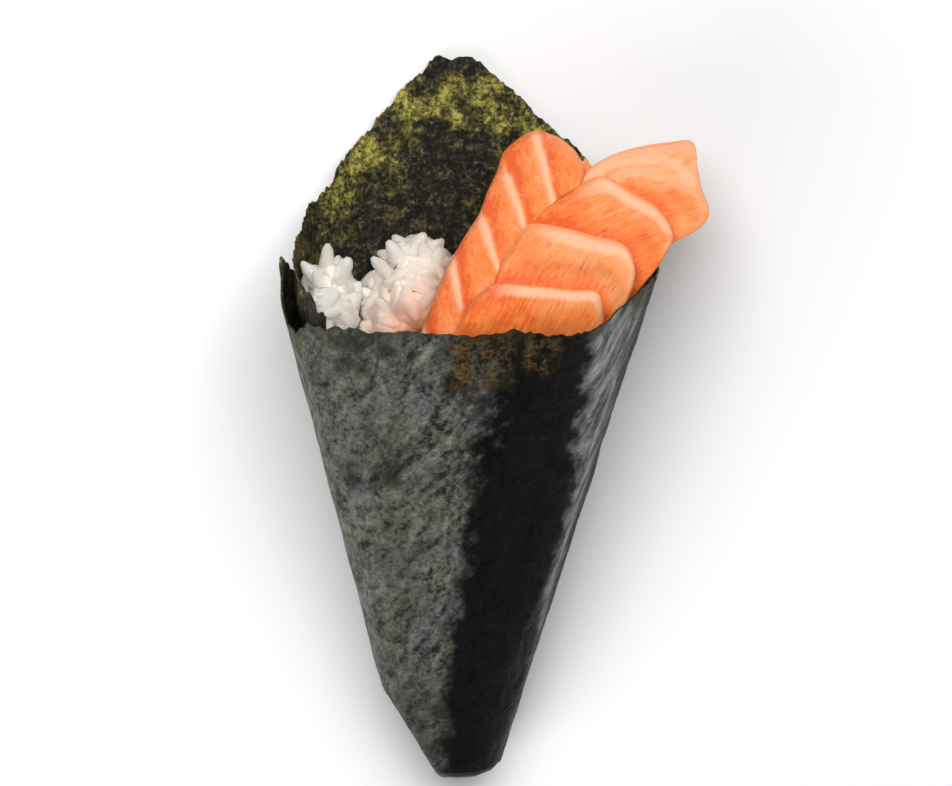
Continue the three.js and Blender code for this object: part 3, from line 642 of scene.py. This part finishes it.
def rawSalmon():
    # moist orange flesh: deep orange low down and lighter up, partly painted shade and painted highlight;
    # pale lines of fat, with a painted highlight along the slices' crests; short dark fibres
    material, tree, shader = newMaterial("rawSalmon")
    place = objectPlace(tree)
    flow = markOf(tree, "flow", "Vector")
    fibres = noiseOf(tree, stretched(tree, flow, (0.16, 1.0, 0.5)), 1.25, 6.0, 0.7, 0.3)
    dashes = noiseOf(tree, stretched(tree, flow, (0.3, 2.4, 1.2)), 0.9, 4.0, 0.68, 0.3)
    patches = noiseOf(tree, place, 150.0, 4.0, 0.6)
    toneAndShading = markOf(tree, "toneAndShading")
    toneAndShading = maths(tree, "ADD", toneAndShading, maths(tree, "MULTIPLY", maths(tree, "SUBTRACT", patches, 0.5), 1.3))
    toneAndShading = maths(tree, "ADD", toneAndShading, maths(tree, "MULTIPLY", maths(tree, "SUBTRACT", fibres, 0.5), 1.9))
    flesh = blend(tree, remap(tree, toneAndShading, -0.2, 0.4), (0.80, 0.115, 0.012), (0.95, 0.24, 0.05))
    flesh = blend(tree, remap(tree, toneAndShading, 0.3, 1.0), flesh, (0.97, 0.385, 0.15))
    flesh = blend(tree, remap(tree, dashes, 0.57, 0.70, 0.0, 0.65), flesh, (0.55, 0.10, 0.022))
    fatAndHighlight = maths(tree, "MULTIPLY", markOf(tree, "fatAndHighlight"), remap(tree, fibres, 0.2, 0.62, 0.75, 1.05))
    flesh = blend(tree, maths(tree, "MINIMUM", fatAndHighlight, 1.0), flesh, (0.99, 0.53, 0.32))
    tree.links.new(flesh, shader.inputs["Base Color"])
    tree.links.new(remap(tree, patches, 0.3, 0.7, 0.42, 0.58), shader.inputs["Roughness"])
    shader.inputs["Subsurface Weight"].default_value = 0.3
    shader.inputs["Subsurface Radius"].default_value = (1.0, 0.35, 0.15)
    shader.inputs["Subsurface Scale"].default_value = 0.0018
    shader.inputs["Specular IOR Level"].default_value = 0.32
    height = maths(tree, "ADD", maths(tree, "MULTIPLY", fibres, 0.7), maths(tree, "MULTIPLY", dashes, -0.1))
    relief = addNode(tree, "ShaderNodeBump", {"Height": height, "Strength": 0.6, "Distance": 0.0006})
    tree.links.new(relief.outputs["Normal"], shader.inputs["Normal"])
    return material


salmonMaterial = rawSalmon()


def flowMark(x, f, w, turn):
    # coordinates along and across the fibres in front view
    c, s = np.cos(np.radians(turn)), np.sin(np.radians(turn))
    return np.stack([x * c + w * s, w * c - x * s, f], axis=-1).reshape(-1, 3)


def salmonSlice(name, index):
    # rings (r, h) from the middle of the top over the rounded rim to the middle of the bottom:
    # x, w = middle + r (outline - middle), f = face - thickness / 2 + h thickness / 2. Past the
    # crest of the slice in front the face rises towards it.
    outline = curveThrough(salmon["slices"][name], salmon["outlinePoints"], True)
    wall = stripRightX(outline[:, 1]) + salmon["clear"]
    atStrip = smooth(1.6, 0.2, outline[:, 0] - wall) * (outline[:, 1] > 97)
    if name == "salmonSlice4":
        outline[:, 0] = np.maximum(outline[:, 0], wall)
    middle = outline.mean(axis=0)
    turn = np.linspace(0, np.pi / 2, 9)
    topR = np.concatenate([np.linspace(0.03, 0.93, 52)[:-1], 0.93 + 0.07 * np.sin(turn)])
    topH = np.concatenate([np.ones(51), 0.35 + 0.65 * np.cos(turn)])
    h = np.concatenate([topH, -topH[::-1]])[:, None]
    # the rounding takes up 7 in 100 of the way out, and a fifth of that at the strip
    tight = 1 - 0.8 * sum(np.roll(atStrip, shift) for shift in range(-4, 5)) / 9
    r = np.concatenate([topR, topR[::-1]])[:, None]
    r = np.where(r < 0.93, r * (1 - 0.07 * tight) / 0.93, 1 - (1 - r) * tight)
    x = middle[0] + r * (outline[:, 0] - middle[0])
    w = middle[1] + r * (outline[:, 1] - middle[1])
    # the crest is the part of the outline that looks up or right, away from the strip
    step = np.roll(outline, -1, axis=0) - np.roll(outline, 1, axis=0)
    away = np.stack([-step[:, 1], step[:, 0]], axis=-1)
    away = away * np.sign(((outline - middle) * away).sum(axis=1, keepdims=True))
    facing = away[:, 1] * 0.95 + away[:, 0] * 0.3
    facing = smooth(0.15, 0.65, facing / np.linalg.norm(away, axis=1)) * (1 - atStrip)
    facing = sum(np.roll(facing, shift) for shift in range(-7, 8)) / 15
    toEdge, _ = distanceTo(x, w, np.concatenate([outline, outline[:1]]))
    crest = facing[None, :] + 0 * r
    spot = np.stack([x, w, np.full_like(x, 7.0 * index)], axis=-1)
    isTop = smooth(-0.2, 0.6, h)
    wander = 0.5 * latticeNoise(spot, 4.0, 72) + 0.25 * latticeNoise(spot, 1.4, 74)
    relief = 0.1 * crest * bump(1.2, 1.2, toEdge) + 0.14 * latticeNoise(spot, 6.0, 81)
    relief = relief + 0.08 * latticeNoise(spot, 1.7, 91) - 0.15 * smooth(3, 9, toEdge)
    # the crest: pale fat with a painted highlight on its rounded edge; the face near the crest painted lighter, a
    # painted highlight too
    fatAndHighlight = 0.95 * crest * smooth(1.9, 0.8, toEdge + 0.6 * wander)
    toneAndShading = 0.25 * crest * smooth(6, 2, toEdge + wander) + 0.25 * smooth(4, 26, x) + salmon["paler"][name]
    f = hood(x, w) - index * salmon["slicePitch"] - salmon["sliceThickness"] / 2
    if index > 0:
        beyond = beyondSlice("salmonSlice%d" % index, x, w)
        f = f + salmon["rise"] * smooth(0.6, salmon["risesOver"], beyond) * isTop
        # a painted shadow on the face just past the slice in front
        toneAndShading = toneAndShading - 0.4 * smooth(2.4, 0.3, beyond) * (smooth(25, 33, x) if name == "salmonSlice4" else 1)
    if name == "salmonSlice4":
        toneAndShading = toneAndShading + 0.5 * atStrip
        fatAndHighlight = 0.5 * fatAndHighlight
        for strength, line in zip((0.75, 0.5), salmon["backBands"]):
            band, _ = distanceTo(x, w, np.array(line))
            fatAndHighlight = np.maximum(fatAndHighlight, strength * smooth(1.5, 0.3, band + wander))
    top = f + salmon["sliceThickness"] / 2
    f = f + h * salmon["sliceThickness"] / 2 + np.clip(relief, -0.5, 0.45) * isTop * smooth(1.02, 0.92, r)
    overStrip = (x < stripRightX(w) + 1.0) & (w > 86) & (name != "salmonSlice4")
    f = np.where(overStrip, np.maximum(f, np.minimum(stripFace(x, w) + 0.35, top - 0.6)), f)
    count = x.size
    ring = np.arange(x.shape[1])
    points = laid(x, f, w).reshape(-1, 3)
    poles = np.stack([points[: x.shape[1]].mean(axis=0), points[-x.shape[1]:].mean(axis=0)])
    faces = [gridFaces(len(r), x.shape[1], 0, closed=True), fanFaces(count, ring),
             fanFaces(count + 1, count - x.shape[1] + ring)]
    poleMark = np.array([0.0, 0.0])
    marks = {
        "fatAndHighlight": np.concatenate([(fatAndHighlight * isTop).ravel(), poleMark]),
        "toneAndShading": np.concatenate([toneAndShading.ravel(), poleMark + toneAndShading[0].mean()]),
        "flow": np.concatenate([flowMark(x, f, w, salmon["fibreTurn"][name]), flowMark(*np.repeat(
            np.array([[middle[0]], [f[0].mean()], [middle[1]]]), 2, axis=1), salmon["fibreTurn"][name])]),
    }
    return putMesh(name, np.concatenate([points, poles]), faces, [salmonMaterial], None, marks)


def salmonStrip():
    # flattened sections between two edges: across = cos^0.45, deep = sin^0.45, drawn in at both
    # ends, under the strip's face. Right of the crease the face dives under the slices.
    stations = 260
    left = curveThrough(salmon["stripLeft"], stations, False)
    right = curveThrough(salmon["stripRight"], stations, False)
    right[:, 0] += salmon["tuck"] * smooth(130.5, 127.5, right[:, 1])
    t = np.linspace(0, 1, stations)
    toEnd = np.clip(np.minimum(t, 1 - t) / 0.05, 0, 1)
    drawn = (0.4 + 0.6 * np.sqrt(1 - (1 - toEnd) ** 2))[:, None]
    # even steps across the face, even turns round both edges, coarser steps underneath
    corner = np.arccos(0.95 ** (1 / 0.45))
    even = np.linspace(0.95, -0.95, 72)[1:-1]
    below = np.linspace(-0.95, 0.95, 26)[1:-1]
    angle = np.concatenate([np.linspace(0, corner, 10), np.arccos(np.sign(even) * np.abs(even) ** (1 / 0.45)),
                            np.linspace(np.pi - corner, np.pi + corner, 19),
                            2 * np.pi - np.arccos(np.sign(below) * np.abs(below) ** (1 / 0.45)),
                            np.linspace(2 * np.pi - corner, 2 * np.pi, 10)[:-1]])[None, :]
    across = np.sign(np.cos(angle)) * np.abs(np.cos(angle)) ** 0.45
    deep = np.sign(np.sin(angle)) * np.abs(np.sin(angle)) ** 0.45
    middle, half = (left + right) / 2, (right - left) / 2
    x = middle[:, :1] + half[:, :1] * across * drawn
    w = middle[:, 1:] + half[:, 1:] * across * drawn
    thickness = salmon["stripThickness"]
    fatAndHighlight = np.zeros_like(x)
    bandShade = np.zeros_like(x)
    spot = np.stack([x, w, 4 * deep + 0 * x], axis=-1)
    wander = 0.35 * latticeNoise(spot, 2.6, 73) + 0.15 * latticeNoise(spot, 1.1, 75)
    for line in salmon["bands"]:
        line = np.array(line)
        away, _ = distanceTo(x, w, line)
        share = np.clip((line[0, 1] - w) / (line[0, 1] - line[-1, 1]), 0, 1)
        side = ((x - line[0, 0]) * (line[-1, 1] - line[0, 1]) - (w - line[0, 1]) * (line[-1, 0] - line[0, 0]))
        side = side / np.hypot(*(line[-1] - line[0]))
        width = np.where(side > 0, 1.5 - 0.9 * share, 0.75 - 0.2 * share)
        fatAndHighlight = np.maximum(fatAndHighlight, np.exp(-((away + 0.4 * wander) / width) ** 2))
        # painted shade beside each band
        bandShade = np.maximum(bandShade, smooth(0.3, -1.2, side) * smooth(-5, -1.5, side) * smooth(-4, 1, line[0, 1] - w + 2))
    isTop = smooth(-0.1, 0.5, deep)
    relief = 0.3 * fatAndHighlight + 0.2 * latticeNoise(spot, 5.0, 83) + 0.07 * latticeNoise(spot, 1.6, 93) - 0.2
    face = stripFace(x, w)
    over = sum((w > height).astype(float) for height in salmon["sliceFrom"])
    under = hood(x, w) - over * salmon["slicePitch"] - salmon["sliceThickness"] - 0.5
    dive = smooth(0.0, 0.9, x - stripRightX(w)) * (w < 131)
    face = face + dive * np.minimum(0, under - face)
    f = face - thickness / 2 + deep * drawn * thickness / 2 + relief * isTop * drawn
    # lighter with the fat; darker towards the left edge and beside each band as painted shade
    toneAndShading = 0.5 - 0.3 * smooth(-0.3, -0.95, across) + 0.3 * fatAndHighlight - 0.5 * bandShade + 0 * x
    count = x.size
    columns = x.shape[1]
    ring = np.arange(columns)
    points = laid(x, f, w).reshape(-1, 3)
    poles = np.stack([points[:columns].mean(axis=0), points[-columns:].mean(axis=0)])
    faces = [gridFaces(stations, columns, 0, closed=True), fanFaces(count, ring),
             fanFaces(count + 1, count - columns + ring)]
    flow = flowMark(x, f, w, -70)
    marks = {
        "fatAndHighlight": np.concatenate([(0.95 * fatAndHighlight * isTop).ravel(), [0, 0]]),
        "toneAndShading": np.concatenate([toneAndShading.ravel(), [0.3, 0.3]]),
        "flow": np.concatenate([flow, flow[:1], flow[-1:]]),
    }
    return putMesh("salmonStrip", np.concatenate([points, poles]), faces, [salmonMaterial], None, marks)


fishPieces = {"salmonStrip": (salmonStrip(), "salmon_strip")}
for index, name in enumerate(salmon["slices"]):
    fishPieces[name] = (salmonSlice(name, index), "salmon_slice_%d" % (index + 1))
for piece, cadNode in fishPieces.values():
    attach(piece, "root")
    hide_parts(cadNode)
print("salmon cut:", ", ".join(fishPieces))

# rice
rice = {
    "floor": 8.0, "top": 95.0, "clear": 1.3,
    "grainLength": 6.8, "grainWidth": 3.0,
    "rings": 5, "sides": 8,
    "heaps": [
        {"at": (-28.1, -4.0, 100.6), "radii": (5.5, 14.0, 7.6), "grains": 110},
        {"at": (-9.2, -8.0, 103.2), "radii": (7.6, 18.0, 8.1), "grains": 150},
        {"at": (-13.2, -7.0, 99.4), "radii": (7.0, 16.0, 7.4), "grains": 110},
        {"at": (14.0, -10.0, 98.0), "radii": (17.0, 15.0, 9.0), "grains": 150},
    ],
    # single grains that stand out of the heaps: middle and direction
    "standing": [((-28.4, -2, 112.0), (0.05, 0.1, 1)), ((-31.6, -1, 108.6), (-0.6, 0, 0.75)),
                 ((-25.2, -1, 109.0), (0.4, 0.1, 0.85)), ((-29.8, 2, 107.6), (-0.3, 0.4, 0.8)),
                 ((-26.4, 3, 107.4), (0.3, 0.5, 0.7)), ((-17.0, -1, 110.0), (-0.6, 0.2, 0.75)),
                 ((-13.9, -3, 112.2), (-0.5, 0, 0.86)), ((-7.6, -3, 112.0), (-0.3, 0.3, 0.8)),
                 ((-5.4, -2, 111.4), (0.2, 0, 1))],
    "bedPitch": 3.3,
    "seed": 7,
}


def heapSurface(heap, rise, angle, share):
    # middle + share * radii * (out cos, out sin, rise), out = sqrt(1 - rise^2)
    out = np.sqrt(np.maximum(0, 1 - rise ** 2))
    normal = np.stack([out * np.cos(angle), out * np.sin(angle), rise + 0 * angle], axis=-1)
    return np.array(heap["at"]) + share * np.array(heap["radii"]) * normal, normal


def riceGrounds(random):
    # centres and outward directions of the grains: golden-angle spirals over each heap in two
    # layers, and a jittered grid over the bed
    places, outs = [], []
    goldenAngle = np.pi * (3 - np.sqrt(5))
    for heap in rice["heaps"]:
        for share, part in ((1.0, 0.55), (0.92, 0.45)):
            count = int(heap["grains"] * part)
            i = np.arange(count)
            rise = 1 - 1.35 * (i + 0.5) / count
            spot, normal = heapSurface(heap, rise, i * goldenAngle + share, share)
            places.append(spot + random.normal(0, 0.35, spot.shape))
            normal = normal / np.array(heap["radii"])
            outs.append(normal / np.linalg.norm(normal, axis=1, keepdims=True))
    for level in (0.0, -2.2):
        gx, gf = np.meshgrid(np.arange(-40, 42, rice["bedPitch"]), np.arange(-30, 32, rice["bedPitch"]))
        spot = np.stack([gx.ravel(), gf.ravel(), np.full(gx.size, rice["top"] + 0.6 + level)], axis=-1)
        places.append(spot + random.uniform(-1.2, 1.2, spot.shape) * (1, 1, 0.5))
        outs.append(np.tile([0.0, 0.0, 1.0], (gx.size, 1)))
    return np.concatenate(places), np.concatenate(outs)


def fillOfSheet(points, clear):
    # (|x / a|^n + |f / b|^n)^(1/n) for the section drawn in by the laps, the sheet and the
    # clearance: 1 on its inner face
    x, f, w = points[..., 0], points[..., 1], points[..., 2]
    turn = np.degrees(np.arctan2(-x, f)) % 360
    laps = lapInset(np.maximum(turn, 50), w) + wrap["curl"] * smooth(103, 110, w) * smooth(130, 115, turn)
    inset = clear + wrap["thickness"] + 0.3 + np.where(turn < 180, laps * smooth(25, 48, turn), 0)
    a = along(roll["endWidth"], roll["rimWidth"], w) / 2 - inset
    b = halfDepth(w) - inset
    middle = along(roll["endShift"], roll["rimShift"], w)
    fill = (np.abs((x - middle) / a) ** roll["power"] + np.abs(f / b) ** roll["power"]) ** (1 / roll["power"])
    return fill, middle, b


def insideSheet(points, clear):
    fill, _, b = fillOfSheet(points, clear)
    return (fill < 1) & (points[..., 1] > -b + 0.6)


def clearOfFish(points, margin):
    # outside every piece of fish by the margin: signed distance along the nearest face's normal
    trees = []
    for piece, _ in fishPieces.values():
        corners = [v.co for v in piece.data.vertices]
        trees.append(BVHTree.FromPolygons(corners, [tuple(p.vertices) for p in piece.data.polygons]))
    spots = laid(points[..., 0], points[..., 1], points[..., 2]).reshape(-1, 3)
    clear = np.ones(len(spots), dtype=bool)
    for i, spot in enumerate(spots):
        for tree in trees:
            found, normal, _, away = tree.find_nearest(Vector(spot), 0.012)
            if found is not None and (away < margin or (Vector(spot) - found).dot(normal) < 0):
                clear[i] = False
                break
    return clear.reshape(points.shape[:-1])


def riceGrains():
    # each grain a plump bent spindle: radius (1 - |t|^2.6)^0.5 along t, flattened, thinner at
    # one end, its middle line bent by k t^2
    random = np.random.default_rng(rice["seed"])
    centres, outs = riceGrounds(random)
    loose = random.normal(0, 1, centres.shape)
    loose = loose * (1, 0.35, 1)
    tip = random.uniform(0.1, 0.7, (len(centres), 1))
    axes = loose - (1 - tip) * outs * (loose * outs).sum(axis=1, keepdims=True)
    axes /= np.linalg.norm(axes, axis=1, keepdims=True)
    reach = 0.42 * rice["grainLength"]
    ends = np.stack([centres - axes * reach, centres, centres + axes * reach], axis=1)
    keep = insideSheet(ends, rice["clear"]).all(axis=1)
    centres, axes, outs, ends = centres[keep], axes[keep], outs[keep], ends[keep]
    keep = clearOfFish(ends, 0.0011).all(axis=1)
    standing, upwards = np.array(rice["standing"]).transpose(1, 0, 2)
    upwards = upwards / np.linalg.norm(upwards, axis=1, keepdims=True)
    centres = np.concatenate([centres[keep], standing])
    axes = np.concatenate([axes[keep], upwards])
    outs = np.concatenate([outs[keep], np.tile([0.0, 1.0, 0.0], (len(standing), 1))])
    count = len(centres)
    side = np.cross(axes, outs + 0.01)
    side /= np.linalg.norm(side, axis=1, keepdims=True)
    other = np.cross(axes, side)
    size = random.uniform(0.88, 1.1, (count, 1, 1))
    bent = random.uniform(-0.12, 0.22, (count, 1, 1)) * rice["grainWidth"]
    taper = random.uniform(-0.22, 0.22, (count, 1, 1))
    flat = random.uniform(0.78, 0.95, (count, 1, 1))
    t = np.linspace(-0.93, 0.93, rice["rings"])[None, :, None]
    angle = np.linspace(0, 2 * np.pi, rice["sides"], endpoint=False)[None, None, :]
    radius = (1 - np.abs(t) ** 2.6) ** 0.5 * (1 + taper * t) * rice["grainWidth"] / 2 * size
    up = radius * np.cos(angle) * flat + bent * (1 - t ** 2)
    out = radius * np.sin(angle)
    far = t * rice["grainLength"] / 2 * size + 0 * angle

    def placed(far, up, out):
        return (centres[:, None, None] + axes[:, None, None] * far[..., None]
                + other[:, None, None] * up[..., None] + side[:, None, None] * out[..., None])

    body = placed(far, up, out).reshape(count, -1, 3)
    poleFar = np.array([-0.5, 0.5])[None, :, None] * rice["grainLength"] * size
    poles = placed(poleFar, 0 * poleFar, 0 * poleFar).reshape(count, 2, 3)
    points = np.concatenate([body, poles], axis=1)
    each = points.shape[1]
    sides, rings = rice["sides"], rice["rings"]
    ring = np.arange(sides)
    quads = gridFaces(rings, sides, 0, closed=True)
    fans = np.concatenate([fanFaces(rings * sides, ring), fanFaces(rings * sides + 1, (rings - 1) * sides + ring)])
    first = (np.arange(count) * each)[:, None, None]
    faces = [(quads[None] + first).reshape(-1, 4), (fans[None] + first).reshape(-1, 3)]
    x, f, w = points[..., 0], points[..., 1], points[..., 2]
    # painted shade, tinted orange, on the rice near the fish's left edge
    leftEdge = curveThrough(salmon["stripLeft"], 200, False)
    toFish = np.interp(w, leftEdge[:, 1], leftEdge[:, 0]) - x
    fishShade = smooth(15, 0.5, toFish) * smooth(117, 99, w)
    marks = {"fishShade": fishShade.ravel(), "own": np.repeat(random.uniform(0, 1, count), each)}
    return laid(x, f, w).reshape(-1, 3), faces, marks, count


def cookedRice():
    # off-white, faintly translucent, with painted shade tinted orange where the rice lies against the fish
    material, tree, shader = newMaterial("cookedRice")
    place = objectPlace(tree)
    cloud = noiseOf(tree, place, 420.0, 3.0, 0.5)
    base = blend(tree, markOf(tree, "own"), (0.60, 0.575, 0.525), (0.66, 0.64, 0.59))
    base = blend(tree, remap(tree, cloud, 0.45, 0.7, 0.0, 0.4), base, (0.70, 0.68, 0.64))
    base = blend(tree, maths(tree, "MULTIPLY", markOf(tree, "fishShade"), 0.9), base, (0.66, 0.29, 0.14))
    tree.links.new(base, shader.inputs["Base Color"])
    shader.inputs["Roughness"].default_value = 0.36
    shader.subsurface_method = "BURLEY"
    shader.inputs["Subsurface Weight"].default_value = 0.9
    shader.inputs["Subsurface Radius"].default_value = (1.0, 0.95, 0.88)
    shader.inputs["Subsurface Scale"].default_value = 0.006
    shader.inputs["Specular IOR Level"].default_value = 0.5
    relief = addNode(tree, "ShaderNodeBump", {"Height": cloud, "Strength": 0.25, "Distance": 0.0005})
    tree.links.new(relief.outputs["Normal"], shader.inputs["Normal"])
    return material


def riceCore():
    # the bed: sections drawn in inside the sheet up to its top; the heaps: ellipsoids at 0.98 of
    # their radii; all with bumps of a grain's size, and drawn in where they would meet the sheet
    turn = np.linspace(0, 360, 120, endpoint=False)[None, :]
    level = np.linspace(0, 1, 40)[:, None]
    w = rice["floor"] + (rice["top"] - 2.5 - rice["floor"]) * level
    lap = np.where(turn < 180, lapInset(np.maximum(turn, 50), w) * smooth(25, 48, turn), 0)
    x, f = sectionPoint(turn, w + 0 * turn, lap + wrap["thickness"] + rice["clear"])
    sets, faces, first = [], [], 0
    bed = np.stack([x, f, w + 0 * turn], axis=-1)
    for grid in [bed] + [heapSurface(heap, np.cos(np.linspace(0.05, np.pi - 0.05, 30))[:, None],
                                     np.linspace(0, 2 * np.pi, 60, endpoint=False)[None, :], 0.98)[0]
                         for heap in rice["heaps"]]:
        rings, sides = grid.shape[:2]
        middle = grid.mean(axis=(0, 1))
        lumps = 1 - 0.05 * (1 + latticeNoise(grid, 3.2, 101)[..., None])
        grid = middle + (grid - middle) * np.array([1, 1, 0]) * lumps + (grid - middle) * np.array([0, 0, 1])
        fill, centre, b = fillOfSheet(grid, 0.5)
        x = centre + (grid[..., 0] - centre) / np.maximum(1, fill)
        f = np.maximum(grid[..., 1] / np.maximum(1, fill), 0.6 - b)
        grid = np.stack([x, f, grid[..., 2]], axis=-1)
        poles = np.stack([grid[0].mean(axis=0), grid[-1].mean(axis=0)])
        sets.append(np.concatenate([grid.reshape(-1, 3), poles]))
        ring = np.arange(sides)
        count = rings * sides
        faces += [gridFaces(rings, sides, first, closed=True), fanFaces(first + count, first + ring),
                  fanFaces(first + count + 1, first + count - sides + ring)]
        first += count + 2
    points = np.concatenate(sets)
    return laid(points[:, 0], points[:, 1], points[:, 2]), faces


riceMaterial = cookedRice()
grainPoints, grainFaces, grainMarks, grainCount = riceGrains()
grains = putMesh("riceGrains", grainPoints, grainFaces, [riceMaterial], None, grainMarks)
corePoints, coreFaces = riceCore()
coreMarks = {"fishShade": np.zeros(len(corePoints)), "own": np.zeros(len(corePoints))}
core = putMesh("riceCore", corePoints, coreFaces, [riceMaterial], None, coreMarks)
for piece in (grains, core):
    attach(piece, "root")
    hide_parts("rice")
print("rice heaped:", grainCount, "grains,", len(grains.data.polygons), "faces")
